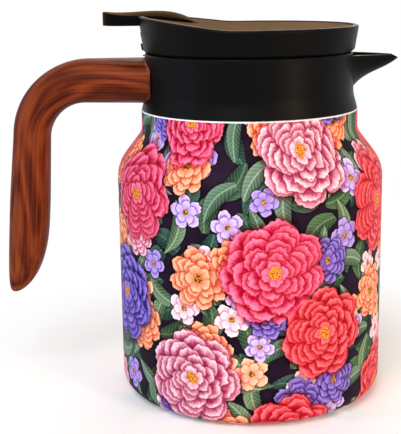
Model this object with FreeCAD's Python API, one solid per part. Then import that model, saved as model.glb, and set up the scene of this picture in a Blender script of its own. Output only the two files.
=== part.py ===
"""Vacuum-insulated pouring jug with a press-lever lid, built as an assembly of separate pieces.

Units are millimetres. +Z is up, the origin is the centre of the foot, the spout points to +X
and the handle to -X. The jug is the same on both sides of the XZ plane.
"""
import FreeCAD
import Part

import math
import os

from FreeCAD import Vector

# Driving dimensions: steel flask
body_radius = 60.0
body_corner_radius = 7.0
shell_wall = 0.6
vacuum_gap = 4.4
foot_lip_width = 10.0
foot_lift = 0.8
shoulder_start_z = 104.6
shoulder_height = 14.9
shoulder_round = 18.0
neck_lip = 0.2
neck_round = 8.0
neck_height = 9.9
step_round = 1.0
throat_inset = 4.1
throat_gap = 0.8
mouth_rise = 8.6
liner_floor_z = 7.6
liner_corner_radius = 9.0
base_plate_wall = 0.8
base_plate_overlap = 1.5
base_dimple_radius = 5.0
base_dimple_depth = 1.6
vent_radius = 1.2
pad_gap = 0.5
pad_chamfer = 0.5
getter_radius = 7.0
getter_height = 2.0

# Driving dimensions: collar, spout and handle
gasket_height = 1.2
collar_height = 24.8
collar_waist_radius = 46.5
collar_flare = 1.8
collar_waist_rise = 6.6
collar_waist_round = 14.0
collar_edge_round = 0.8
collar_wall = 3.7
seat_height = 2.2
seat_bore_gap = 1.6
spout_reach = 20.1
spout_tip_drop = 2.2
spout_tip_height = 0.9
spout_tip_half_width = 1.6
spout_top_drop = 1.6
spout_root_drop = 14.8
spout_root_half_width = 13.0
spout_flare = 3.0
spout_wall = 1.7
handle_arm_margin = 2.2
handle_arm_low = 0.2
handle_root_half_width = 20.5
handle_root_squareness = 2.5
handle_grip_half_thickness = 9.1
handle_bend_half_width = 11.8
handle_grip_half_width = 11.0
handle_grip_squareness = 2.3
handle_arm_reach = 30.2
handle_bend_radius = 22.3
handle_bend_angle = 85.5
handle_grip_length = 79.4
handle_taper_length = 30.0
handle_tip_half_thickness = 1.2
handle_tip_half_width = 1.8
handle_tip_lean = 0.8
handle_tip_bluntness = 0.8
tenon_length = 20.0
tenon_half_height = 5.5
tenon_half_width = 8.0
mark_width = 3.0
mark_height = 0.9

# Driving dimensions: lid
seam_gap = 0.3
lid_inset = 0.6
lid_chamfer = 1.0
lid_chamfer_height = 0.9
lid_flare = 2.7
lid_rim_round = 1.0
lid_height = 11.5
lid_wall = 2.4
lid_flange_wall = 1.6
saddle_start_x = -5.8
saddle_radius = 60.0
saddle_ramp = 7.5
top_plate_wall = 2.0
top_plate_drop = 0.4
top_plate_groove = 0.35
top_plate_round = 0.4
ledge_width = 2.4
ledge_height = 1.9
stopper_wall = 2.4
stopper_depth = 27.6
stopper_flange_wall = 1.6
stopper_flange_rim = 3.9
partition_drop = 6.2
partition_wall = 2.4
spring_boss_radius = 6.5
spring_boss_height = 1.5
seat_plate_wall = 2.6
seat_plate_ledge = 1.5
port_radius = 9.0
window_width = 9.0
window_height = 5.0
window_step_angle = 22.0
seal_height = 3.2
seal_groove_depth = 0.8
boss_radius = 2.6
boss_length = 5.6
boss_gap = 1.1
screw_radius = 1.3
screw_head_radius = 2.5
screw_head_height = 1.4

# Driving dimensions: lever and valve
pivot_inset = 6.0
pivot_drop = 5.7
lever_rise = 6.8
lever_back_length = 38.0
lever_dip_length = 29.0
lever_dip = 0.5
lever_crest_length = 17.5
lever_nose_length = 4.0
lever_nose_drop = 1.2
lever_front_length = 3.8
lever_tip_rise = 0.9
lever_sink = 0.8
lever_crown = 2.0
lever_depth = 6.1
lever_edge_round = 0.6
lever_plate_wall = 2.2
lever_half_width = 10.0
lever_skirt_wall = 2.0
lever_skirt_length = 14.0
pin_radius = 1.5
rib_half_width = 4.0
rib_half_length = 3.0
rib_round = 2.0
arm_drop = 9.9
arm_height = 3.0
fork_half_width = 6.0
fork_reach = 2.5
lug_wall = 3.0
lug_half_length = 3.0
stem_radius = 2.5
stem_nut_radius = 5.5
stem_nut_height = 2.2
stem_nut_play = 0.6
valve_disc_radius = 12.5
valve_disc_height = 3.0
valve_seal_radius = 12.0
valve_seal_height = 1.6
retainer_radius = 6.0
spring_mean_radius = 4.6
spring_wire_radius = 0.6
spring_turns = 5
o_ring_wire_radius = 0.85
o_ring_cap_radius = 7.0
o_ring_cap_height = 1.2

# Clearances
slip = 0.1
close_fit = 0.02
running_fit = 0.05
free_gap = 0.3
lever_side_gap = 0.8

# Sizes that follow from the driving dimensions
shoulder_end_z = shoulder_start_z + shoulder_height
step_z = shoulder_end_z + neck_height
mouth_z = step_z + mouth_rise
collar_top_z = step_z + collar_height
collar_waist_z = step_z + collar_waist_rise
lid_rim_z = collar_top_z + lid_height
stopper_bottom_z = collar_top_z - stopper_depth
partition_z = collar_top_z - partition_drop
collar_foot_radius = collar_waist_radius + collar_flare
neck_radius = collar_foot_radius + neck_lip
throat_radius = collar_waist_radius - throat_inset
foot_lip_radius = body_radius - foot_lip_width
liner_radius = body_radius - shell_wall - vacuum_gap
liner_throat_radius = throat_radius - shell_wall - throat_gap
mouth_radius = liner_throat_radius - shell_wall
shell_top_z = mouth_z - shell_wall
shoulder_slope = (body_radius - neck_radius) / shoulder_height
base_plate_z = foot_lift + shell_wall
seat_z = mouth_z + gasket_height
chamber_floor_z = seat_z + seat_height
chamber_radius = collar_waist_radius - collar_wall
boss_circle_radius = chamber_radius - boss_gap - boss_radius
stopper_radius = boss_circle_radius - boss_radius - boss_gap
stopper_flange_radius = boss_circle_radius + stopper_flange_rim
seat_bore_radius = stopper_radius + seat_bore_gap
spout_tip_x = collar_waist_radius + spout_reach
spout_tip_z = collar_top_z - spout_tip_drop
spout_top_z = collar_top_z - spout_top_drop
spout_root_bottom_z = collar_top_z - spout_root_drop
handle_arm_z = step_z + collar_height / 2 - handle_arm_low
handle_arm_half_height = collar_height / 2 - handle_arm_margin
handle_bend_x = -collar_waist_radius - handle_arm_reach
lid_bottom_radius = collar_waist_radius - lid_inset
lid_rim_radius = lid_bottom_radius + lid_flare
lid_bottom_z = collar_top_z + seam_gap
flange_top_z = lid_bottom_z + lid_flange_wall
chamfer_top_z = lid_bottom_z + lid_chamfer_height
lid_slope = (lid_rim_radius - lid_bottom_radius - lid_chamfer) / (lid_rim_z - chamfer_top_z)
lever_top_z = lid_rim_z + lever_rise
lid_block_top_z = lever_top_z + lid_wall
top_plate_under_z = lid_rim_z - top_plate_drop - top_plate_wall
stopper_bore_radius = stopper_radius - stopper_wall
partition_top_z = partition_z + partition_wall
port_z = stopper_bottom_z + seat_plate_wall
valve_disc_z = port_z + valve_seal_height
valve_top_z = valve_disc_z + valve_disc_height
spring_seat_z = partition_z - spring_boss_height
pivot_x = pivot_inset - stopper_bore_radius
pivot_z = lid_rim_z - pivot_drop
arm_top_z = lid_rim_z - arm_drop
nut_z = arm_top_z + stem_nut_play
arm_bottom_z = arm_top_z - arm_height
lever_under_z = lever_top_z - lever_depth
lever_end_x = pivot_x - lever_back_length
lever_tip_x = pivot_x + lever_front_length
lever_skirt_end_x = pivot_x - lever_skirt_length
slot_half_width = lever_half_width + lever_side_gap
BIG = 4.0 * body_radius


# Helpers for outlines
def turn_between(before, corner, after):
    """Signed angle of the turn at a corner, positive to the left."""
    a = math.atan2(corner[1] - before[1], corner[0] - before[0])
    b = math.atan2(after[1] - corner[1], after[0] - corner[0])
    return (b - a + math.pi) % (2 * math.pi) - math.pi


def in_plane(r, z):
    return Vector(r, 0, z)


def rounded_edges(points, closed):
    """Line and arc edges through points (r, z) or (r, z, fillet), in the XZ plane."""
    count = len(points)
    joints = []
    for i, point in enumerate(points):
        fillet = point[2] if len(point) > 2 else 0.0
        is_end = not closed and i in (0, count - 1)
        if fillet <= 0 or is_end:
            joints.append((in_plane(*point[:2]),))
            continue
        before, after = points[i - 1], points[(i + 1) % count]
        turn = turn_between(before, point, after)
        reach = fillet * math.tan(abs(turn) / 2)
        corner = in_plane(*point[:2])
        back = (in_plane(*before[:2]) - corner).normalize()
        ahead = (in_plane(*after[:2]) - corner).normalize()
        bisector = (back + ahead).normalize()
        middle = corner + bisector * (fillet / math.cos(turn / 2) - fillet)
        joints.append((corner + back * reach, middle, corner + ahead * reach))
    edges = []
    for i, joint in enumerate(joints):
        if len(joint) == 3:
            edges.append(Part.Arc(*joint).toShape())
        if not closed and i == count - 1:
            break
        start, end = joint[-1], joints[(i + 1) % count][0]
        if (end - start).Length > 1e-6:
            edges.append(Part.LineSegment(start, end).toShape())
    return edges


def outline(points):
    """Closed face in the XZ plane with rounded corners."""
    return Part.Face(Part.Wire(rounded_edges(points, closed=True)))


def revolve(points):
    """Solid of revolution about Z from a closed outline of (r, z) points."""
    solid = outline(points).revolve(Vector(0, 0, 0), Vector(0, 0, 1), 360)
    return Part.Solid(solid.Shells[0]) if solid.ShapeType != "Solid" else solid


def offset_path(path, distance):
    """The path moved to its left by a distance, with its fillets grown or shrunk to match."""
    moved = []
    for i, point in enumerate(path):
        near = [(path[i - 1], point)] if i > 0 else []
        near += [(point, path[i + 1])] if i + 1 < len(path) else []
        normals = []
        for start, end in near:
            length = math.hypot(end[0] - start[0], end[1] - start[1])
            normals.append(((start[1] - end[1]) / length, (end[0] - start[0]) / length))
        share = distance / (1 + sum(a * b for a, b in zip(*normals))) if len(normals) == 2 else distance
        shift = [share * sum(n[k] for n in normals) for k in (0, 1)]
        place = (point[0] + shift[0], point[1] + shift[1])
        if len(point) > 2 and len(normals) == 2:
            left = turn_between(path[i - 1], point, path[i + 1]) > 0
            place += (point[2] - distance if left else point[2] + distance,)
        moved.append(place)
    return moved


def sheet(path, wall):
    """Thin-walled solid of revolution: the path is its outside, with the wall on the left."""
    return revolve(path + offset_path(path, wall)[::-1])


def ring(outer, inner, bottom, top):
    return revolve([(inner, bottom), (outer, bottom), (outer, top), (inner, top)])


def rod(radius, bottom, top, x=0.0, y=0.0):
    return Part.makeCylinder(radius, top - bottom, Vector(x, y, bottom))


def box(x0, x1, half_width, z0, z1):
    return Part.makeBox(x1 - x0, 2 * half_width, z1 - z0, Vector(x0, -half_width, z0))


def plank(points, half_width):
    """Outline in the XZ plane carried evenly to both sides of it."""
    face = outline(points)
    face.translate(Vector(0, -half_width, 0))
    return face.extrude(Vector(0, 2 * half_width, 0))


def around(shape, angles):
    """Copies of a shape turned about Z."""
    copies = []
    for angle in angles:
        turned = shape.copy()
        turned.rotate(Vector(0, 0, 0), Vector(0, 0, 1), angle)
        copies.append(turned)
    return copies


def oval(centre, thick_direction, half_thickness, half_width):
    """Elliptical wire, wide along Y."""
    wide = centre + Vector(0, half_width, 0)
    thick = centre + thick_direction * half_thickness
    return Part.Wire(Part.Ellipse(wide, thick, centre).toShape())


def soft_rectangle(centre, thick_direction, half_thickness, half_width, squareness):
    """Closed smooth wire |y / half_width|^n + |t / half_thickness|^n = 1, n being the squareness."""
    points = []
    steps = 24
    for i in range(steps):
        c, s = math.cos(2 * math.pi * i / steps), math.sin(2 * math.pi * i / steps)
        thick = math.copysign(abs(c) ** (2 / squareness), c) * half_thickness
        wide = math.copysign(abs(s) ** (2 / squareness), s) * half_width
        points.append(centre + thick_direction * thick + Vector(0, wide, 0))
    curve = Part.BSplineCurve()
    curve.interpolate(points, PeriodicFlag=True)
    return Part.Wire(curve.toShape())


def oval_bar(x0, x1, z, half_height, half_width):
    """Straight bar along X with an elliptical section."""
    ends = [oval(Vector(x, 0, z), Vector(0, 0, 1), half_height, half_width) for x in (x0, x1)]
    return Part.makeLoft(ends, True, True)


def round_off(shape, radius, chosen):
    """Fillet the edges whose middle point passes a test."""
    picked = [edge for edge in shape.Edges
              if chosen(edge.valueAt((edge.FirstParameter + edge.LastParameter) / 2))]
    return shape.makeFillet(radius, picked)


# Steel flask
def outer_shell():
    """Outer steel wall: turned-in foot, straight side, shoulder, neck and stepped throat."""
    path = [
        (foot_lip_radius, foot_lift),
        (body_radius, foot_lift, body_corner_radius),
        (body_radius, shoulder_start_z, shoulder_round),
        (neck_radius, shoulder_end_z, neck_round),
        (neck_radius, step_z, step_round),
        (throat_radius, step_z, step_round),
        (throat_radius, shell_top_z),
    ]
    return sheet(path, shell_wall)


def inner_flask():
    """Steel liner that holds the drink, flanged over the outer wall's throat and welded there."""
    drop = vacuum_gap * (1 - shoulder_slope / 2)
    shoulder_top = shoulder_start_z - drop + (liner_radius - liner_throat_radius) / shoulder_slope
    path = [
        (0, liner_floor_z),
        (liner_radius, liner_floor_z, liner_corner_radius),
        (liner_radius, shoulder_start_z - drop, shoulder_round - vacuum_gap),
        (liner_throat_radius, shoulder_top, neck_round),
        (liner_throat_radius, shell_top_z),
        (throat_radius, shell_top_z),
    ]
    return sheet(path, shell_wall)


def base_plate():
    """Pressed disc welded inside the foot's lip, with a dimple for the vacuum seal."""
    path = [
        (vent_radius, base_plate_z + base_dimple_depth),
        (base_dimple_radius, base_plate_z + base_dimple_depth),
        (base_dimple_radius + base_dimple_depth, base_plate_z),
        (foot_lip_radius + base_plate_overlap, base_plate_z),
    ]
    return sheet(path, base_plate_wall)


def vacuum_plug():
    """Solder button that closes the pump-out hole in the dimple."""
    top = base_plate_z + base_dimple_depth
    return rod(base_dimple_radius - free_gap, top - base_dimple_depth / 2, top)


def getter_cup():
    """Small capsule under the liner that soaks up stray gas in the vacuum."""
    return revolve([
        (0, liner_floor_z - getter_height),
        (getter_radius, liner_floor_z - getter_height, getter_height / 4),
        (getter_radius, liner_floor_z),
        (0, liner_floor_z),
    ])


def base_pad():
    """Non-slip silicone disc that the jug stands on."""
    radius = foot_lip_radius - pad_gap
    return revolve([
        (0, 0),
        (radius - pad_chamfer, 0),
        (radius, pad_chamfer),
        (radius, base_plate_z),
        (base_dimple_radius + 2 * base_dimple_depth, base_plate_z),
        (base_dimple_radius + base_dimple_depth, base_plate_z - free_gap),
        (0, base_plate_z - free_gap),
    ])


def neck_gasket():
    """Silicone ring squeezed between the flask's mouth and the collar's seat."""
    return ring(throat_radius, mouth_radius, mouth_z, seat_z)


# Collar with spout, and the handle that hangs on it
def spout_section(x, half_width, top, bottom):
    """Closed wire across the spout: a flat top and a round belly."""
    left, right = Vector(x, -half_width, top), Vector(x, half_width, top)
    belly = Part.Arc(left, Vector(x, 0, bottom), right).toShape()
    return Part.Wire([belly, Part.LineSegment(right, left).toShape()])


def spout_outside():
    """Solid beak: flared where it grows out of the collar, then straight to the tip."""
    tip_bottom_z = spout_tip_z - spout_tip_height
    sections = [spout_section(collar_waist_radius - spout_flare, spout_root_half_width + spout_flare,
                              spout_top_z, spout_root_bottom_z - 2 * spout_flare)]
    for share in (0.12, 0.5, 1.0):
        sections.append(spout_section(
            collar_waist_radius + share * spout_reach,
            spout_root_half_width + share * (spout_tip_half_width - spout_root_half_width),
            spout_top_z + share ** 2 * (spout_tip_z - spout_top_z),
            spout_root_bottom_z + share * (tip_bottom_z - spout_root_bottom_z)))
    beak = Part.makeLoft(sections, True, False)
    return beak.cut(rod(chamber_radius, 0, BIG))


def spout_channel():
    """The pouring groove, open at the top, from the collar's chamber to the tip."""
    root_x = chamber_radius - spout_wall
    top = collar_top_z + spout_wall
    end_x = spout_tip_x + spout_wall
    tip_half_width = spout_tip_half_width / 2
    sections = [
        spout_section(root_x, spout_root_half_width - spout_wall, top, chamber_floor_z),
        spout_section(end_x, tip_half_width, top, spout_tip_z - spout_tip_height / 2),
    ]
    return Part.makeLoft(sections, True, True)


def collar_side():
    """Outer line of the collar, from its foot over the waist to the rim."""
    return [
        (collar_foot_radius, step_z),
        (collar_waist_radius, collar_waist_z, collar_waist_round),
        (collar_waist_radius, collar_top_z, collar_edge_round),
    ]


def collar():
    """Moulded collar: ring wall, seat for the lid, spout, tenon for the handle, and a mark."""
    body = revolve([(throat_radius + 4 * free_gap, step_z)] + collar_side() + [
        (chamber_radius, collar_top_z),
        (chamber_radius, chamber_floor_z),
        (seat_bore_radius, chamber_floor_z),
        (seat_bore_radius, seat_z),
        (throat_radius + free_gap, seat_z),
        (throat_radius + free_gap, step_z + 2 * step_round),
    ])
    body = body.fuse(spout_outside()).cut(spout_channel())
    tenon_end_x = -collar_waist_radius - tenon_length
    tenon = oval_bar(tenon_end_x, -chamber_radius, handle_arm_z, tenon_half_height, tenon_half_width)
    body = body.fuse(tenon.cut(rod(collar_waist_radius - collar_wall / 2, 0, BIG)))
    for screw_x in handle_screw_places():
        body = body.cut(rod(screw_radius + close_fit, 0, handle_arm_z, screw_x))
    mark_top = collar_top_z - collar_edge_round
    mark_bottom = handle_arm_z + handle_arm_half_height + 3 * free_gap
    mark = plank([
        (-chamber_radius - collar_wall / 2, mark_bottom),
        (-collar_waist_radius - mark_height, mark_bottom),
        (-collar_waist_radius - mark_height, (mark_bottom + mark_top) / 2),
        (-chamber_radius - collar_wall / 2, mark_top),
    ], mark_width / 2)
    return body.fuse(mark).removeSplitter()


def handle_stations():
    """Sections along the handle, from inside the collar to the tip of the grip.

    Each is a centre, a direction across the handle, two half sizes and a squareness. The arm runs
    straight out, bends down on an arc and tapers to a tip whose outer side stays nearly straight.
    """
    stations = []
    root_x = -chamber_radius
    arm_length = root_x - handle_bend_x
    for share in (0.0, 0.35, 0.7, 1.0):
        x = root_x - share * arm_length
        wide = handle_root_half_width + share * (handle_bend_half_width - handle_root_half_width)
        square = handle_root_squareness + share * (handle_grip_squareness - handle_root_squareness)
        stations.append((Vector(x, 0, handle_arm_z), Vector(0, 0, 1), handle_arm_half_height, wide, square))
    centre = Vector(handle_bend_x, 0, handle_arm_z - handle_bend_radius)
    for share in (0.34, 0.67, 1.0):
        angle = math.radians(handle_bend_angle * share)
        across = Vector(-math.sin(angle), 0, math.cos(angle))
        thick = handle_arm_half_height + share * (handle_grip_half_thickness - handle_arm_half_height)
        wide = handle_bend_half_width + share * (handle_grip_half_width - handle_bend_half_width)
        stations.append((centre + across * handle_bend_radius, across, thick, wide, handle_grip_squareness))
    start, across = stations[-1][0], stations[-1][1]
    along = Vector(across.z * -1, 0, across.x)
    straight = handle_grip_length - handle_taper_length
    for share in (0.5, 1.0):
        stations.append((start + along * straight * share, across,
                         handle_grip_half_thickness, handle_grip_half_width, handle_grip_squareness))
    for share in (0.3, 0.55, 0.75, 0.88, 0.96, 1.0):
        fullness = math.sqrt(1 - share ** 3)
        thick = max(handle_grip_half_thickness * fullness, handle_tip_half_thickness)
        wide = max(handle_grip_half_width * fullness ** handle_tip_bluntness, handle_tip_half_width)
        lean = handle_tip_lean * (handle_grip_half_thickness - thick)
        place = start + along * (straight + handle_taper_length * share) + across * lean
        stations.append((place, across, thick, wide, handle_grip_squareness))
    return stations


def handle_screw_places():
    """X places of the two screws that hold the handle to the collar's tenon."""
    return [-collar_waist_radius - tenon_length * share for share in (0.35, 0.75)]


def handle_screw_seat_z():
    return handle_arm_z - handle_arm_half_height + 2 * screw_head_height


def handle_grip():
    """Wood-look handle, saddled onto the collar, hollowed for the tenon and bored for its screws."""
    grip = Part.makeLoft([soft_rectangle(*station) for station in handle_stations()], True, False)
    grip = grip.cut(revolve([(0, step_z)] + collar_side() + [(0, collar_top_z)]))
    socket_end_x = -collar_waist_radius - tenon_length - free_gap
    socket = oval_bar(socket_end_x, -chamber_radius, handle_arm_z,
                      tenon_half_height + free_gap / 2, tenon_half_width + free_gap / 2)
    grip = grip.cut(socket)
    for screw_x in handle_screw_places():
        grip = grip.cut(rod(screw_radius + slip, 0, handle_arm_z, screw_x))
        grip = grip.cut(rod(screw_head_radius + slip, 0, handle_screw_seat_z(), screw_x))
    return grip


def handle_screws():
    """Two self-tapping screws, up through the handle into the tenon."""
    seat = handle_screw_seat_z()
    screws = []
    for screw_x in handle_screw_places():
        head = rod(screw_head_radius, seat - screw_head_height, seat, screw_x)
        screws.append(head.fuse(rod(screw_radius, seat, handle_arm_z - free_gap, screw_x)).removeSplitter())
    return Part.makeCompound(screws)


# Lid
def lid_outside_radius(z):
    """The lid's flared outer wall."""
    return lid_bottom_radius + lid_chamfer + lid_slope * (z - chamfer_top_z)


def lid_inside_radius(z):
    return lid_outside_radius(z) - lid_wall


def above_saddle(drop):
    """Everything above the lid's top line, lowered by a drop: level in front, a ramp up to the back."""
    level = lid_rim_z - drop
    radius = saddle_radius + drop
    centre_z = lid_rim_z + saddle_radius
    ramp = math.radians(saddle_ramp)
    bend = [Vector(saddle_start_x - radius * math.sin(a), 0, centre_z - radius * math.cos(a))
            for a in (ramp, ramp / 2)]
    back_z = bend[0].z + (bend[0].x + body_radius) * math.tan(ramp)
    start = Vector(saddle_start_x, 0, level)
    corners = [Vector(body_radius, 0, level), Vector(body_radius, 0, BIG), Vector(-body_radius, 0, BIG)]
    chain = [start] + corners + [Vector(-body_radius, 0, back_z), bend[0]]
    edges = [Part.LineSegment(a, b).toShape() for a, b in zip(chain, chain[1:])]
    edges.append(Part.Arc(bend[0], bend[1], start).toShape())
    face = Part.Face(Part.Wire(edges))
    face.translate(Vector(0, -body_radius, 0))
    return face.extrude(Vector(0, 2 * body_radius, 0))


def is_lid_rim(point):
    """True on the outer edge of the lid's top."""
    radius = math.hypot(point.x, point.y)
    return point.z > lid_rim_z - slip and abs(radius - lid_outside_radius(point.z)) < slip


def is_plate_rim(point):
    """True on the upper edge of the top plate."""
    radius = math.hypot(point.x, point.y) + top_plate_groove
    return point.z > lid_rim_z - top_plate_drop - slip and abs(radius - lid_inside_radius(point.z)) < slip


def boss_places():
    """Places of the three bosses round the lid, clear of the spout."""
    angles = [math.radians(a) for a in (60, 180, 300)]
    return [(boss_circle_radius * math.cos(a), boss_circle_radius * math.sin(a)) for a in angles]


def lid_band():
    """Flared outer ring of the lid, with its floor flange, top ledge, lever notch, bosses and mark."""
    ledge_z = top_plate_under_z
    ledge_foot_z = ledge_z - ledge_height
    band = revolve([
        (lid_bottom_radius, lid_bottom_z),
        (lid_bottom_radius + lid_chamfer, chamfer_top_z),
        (lid_outside_radius(lid_block_top_z), lid_block_top_z),
        (lid_inside_radius(lid_block_top_z), lid_block_top_z),
        (lid_inside_radius(ledge_z), ledge_z),
        (lid_inside_radius(ledge_z) - ledge_width, ledge_z),
        (lid_inside_radius(ledge_z) - ledge_width, ledge_foot_z),
        (lid_inside_radius(ledge_foot_z - ledge_width), ledge_foot_z - ledge_width),
        (lid_inside_radius(flange_top_z), flange_top_z),
        (stopper_radius + free_gap, flange_top_z),
        (stopper_radius + free_gap, lid_bottom_z),
    ])
    band = band.cut(above_saddle(0.0))
    band = round_off(band, lid_rim_round, is_lid_rim)
    band = band.cut(box(-body_radius, lever_skirt_end_x + lever_side_gap, slot_half_width,
                        ledge_z, lid_block_top_z + lid_wall))
    for x, y in boss_places():
        band = band.fuse(rod(boss_radius, lid_bottom_z - boss_length, lid_bottom_z, x, y))
        band = band.cut(rod(screw_radius + close_fit, lid_bottom_z - boss_length + screw_head_height,
                            flange_top_z, x, y))
    mark_top = chamfer_top_z + 3 * mark_height
    mark = plank([
        (-lid_inside_radius(chamfer_top_z) - lid_wall / 2, lid_bottom_z + mark_height / 2),
        (-lid_bottom_radius - mark_height, lid_bottom_z + mark_height / 2),
        (-lid_outside_radius(chamfer_top_z) - mark_height, chamfer_top_z),
        (-lid_outside_radius(mark_top) - mark_height, mark_top),
        (-lid_inside_radius(mark_top) - lid_wall / 2, mark_top),
    ], mark_width / 2)
    return band.fuse(mark).removeSplitter()


def lid_top():
    """Inset top plate that follows the saddle, with a slot for the lever."""
    low, high = flange_top_z, lid_block_top_z
    blank = revolve([
        (0, low),
        (lid_inside_radius(low) - top_plate_groove, low),
        (lid_inside_radius(high) - top_plate_groove, high),
        (0, high),
    ])
    plate = blank.common(above_saddle(top_plate_drop + top_plate_wall)).cut(above_saddle(top_plate_drop))
    plate = round_off(plate, top_plate_round, is_plate_rim)
    return plate.cut(plan_block(-2 * body_radius, lever_tip_x + lever_side_gap, slot_half_width))


def stopper_body():
    """Plug below the lid: wet chamber with pouring windows, partition and the lever's two lugs."""
    seal_z = chamber_floor_z - seal_height + 2 * slip
    ledge_z = port_z
    body = revolve([
        (stopper_bore_radius, stopper_bottom_z),
        (stopper_radius, stopper_bottom_z),
        (stopper_radius, seal_z - slip),
        (stopper_radius - seal_groove_depth, seal_z - slip),
        (stopper_radius - seal_groove_depth, seal_z + seal_height + slip),
        (stopper_radius, seal_z + seal_height + slip),
        (stopper_radius, flange_top_z),
        (stopper_flange_radius, flange_top_z),
        (stopper_flange_radius, flange_top_z + stopper_flange_wall),
        (stopper_bore_radius, flange_top_z + stopper_flange_wall),
        (stopper_bore_radius, partition_top_z),
        (stem_radius + 2 * o_ring_wire_radius + slip, partition_top_z),
        (stem_radius + 2 * o_ring_wire_radius + slip, partition_top_z - 2 * o_ring_wire_radius - slip),
        (stem_radius + slip, partition_top_z - 2 * o_ring_wire_radius - slip),
        (stem_radius + slip, spring_seat_z),
        (spring_boss_radius, spring_seat_z),
        (spring_boss_radius, partition_z),
        (stopper_bore_radius, partition_z),
        (stopper_bore_radius, ledge_z + 2 * seat_plate_ledge),
        (stopper_bore_radius - seat_plate_ledge, ledge_z + seat_plate_ledge),
        (stopper_bore_radius - seat_plate_ledge, ledge_z),
        (stopper_bore_radius, ledge_z),
    ])
    window_z = partition_z - window_height
    window = box(stopper_bore_radius - stopper_wall, stopper_radius + stopper_wall, window_width / 2,
                 window_z, partition_z)
    for cutter in around(window, (-window_step_angle, 0, window_step_angle)):
        body = body.cut(cutter)
    for x, y in boss_places():
        body = body.cut(rod(screw_radius + slip, flange_top_z, flange_top_z + stopper_flange_wall, x, y))
    lug = box(pivot_x - lug_half_length, pivot_x + lug_half_length, lug_wall / 2, partition_top_z, pivot_z)
    crown_start = Vector(pivot_x, -lug_wall / 2, pivot_z)
    crown = Part.makeCylinder(lug_half_length, lug_wall, crown_start, Vector(0, 1, 0))
    lug = lug.fuse(crown)
    lug_y = rib_half_width + lever_side_gap / 2 + lug_wall / 2
    for side in (-1, 1):
        placed = lug.copy()
        placed.translate(Vector(0, side * lug_y, 0))
        body = body.fuse(placed)
    return body.cut(pin_solid(close_fit, BIG)).removeSplitter()


def pin_solid(grow, length):
    start = Vector(pivot_x, -length / 2, pivot_z)
    return Part.makeCylinder(pin_radius + grow, length, start, Vector(0, 1, 0))


def lever_pin():
    """Steel pin through the stopper's lugs that the lever rocks on."""
    return pin_solid(0.0, 2 * (rib_half_width + lug_wall + lever_side_gap))


def seat_plate():
    """Disc pressed into the stopper's foot, with the valve's round port."""
    return ring(stopper_bore_radius - close_fit, port_radius, stopper_bottom_z, port_z)


def lid_seal():
    """Silicone ring in the stopper's groove that seals it in the collar's bore."""
    bottom = chamber_floor_z - seal_height + 2 * slip
    inner = stopper_radius - seal_groove_depth + slip
    outer = seat_bore_radius - slip
    return revolve([
        (inner, bottom),
        (outer - seal_height / 4, bottom),
        (outer, bottom + seal_height / 4),
        (outer, bottom + seal_height - seal_height / 4),
        (outer - seal_height / 4, bottom + seal_height),
        (inner, bottom + seal_height),
    ])


def lid_screws():
    """Three screws that clamp the stopper's flange to the lid's floor."""
    seat = flange_top_z + stopper_flange_wall
    screws = []
    for x, y in boss_places():
        head = rod(screw_head_radius, seat, seat + screw_head_height, x, y)
        foot = lid_bottom_z - boss_length + screw_head_height + slip
        screws.append(head.fuse(rod(screw_radius, foot, seat, x, y)).removeSplitter())
    return Part.makeCompound(screws)


def stem_o_ring():
    """O-ring that keeps the drink out of the lever's space."""
    z = partition_top_z - o_ring_wire_radius - slip
    mean_radius = stem_radius + o_ring_wire_radius + running_fit
    return Part.makeTorus(mean_radius, o_ring_wire_radius, Vector(0, 0, z))


def o_ring_cap():
    """Washer that holds the O-ring in its pocket."""
    return ring(o_ring_cap_radius, stem_radius + slip, partition_top_z, partition_top_z + o_ring_cap_height)


# Lever and valve
def lever_crowned_block():
    """Block under the lever's top: level at the thumb end, crowned over the lid, low at the tip."""
    stations = [
        (lever_end_x - lever_edge_round, lever_top_z, 0.0),
        (pivot_x - lever_dip_length, lever_top_z - lever_dip, lever_crown / 2),
        (pivot_x - lever_crest_length, lever_top_z, lever_crown),
        (pivot_x - lever_nose_length, lever_top_z - lever_nose_drop, lever_crown),
        (lever_tip_x + lever_edge_round, lid_rim_z + lever_tip_rise, lever_crown / 4),
    ]
    rows = []
    for x, z, crown in stations:
        rows.append([Vector(x, share * lever_half_width, z - crown * share ** 2)
                     for share in (-1.1, -0.55, 0.0, 0.55, 1.1)])
    top = Part.BSplineSurface()
    top.interpolate(rows)
    return top.toShape().extrude(Vector(0, 0, lid_bottom_z - lever_top_z))


def is_lever_top_edge(point):
    """True on the upper outline of the thumb tab."""
    return point.x < lever_skirt_end_x and point.z > lever_top_z - 2 * lever_crown


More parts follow.
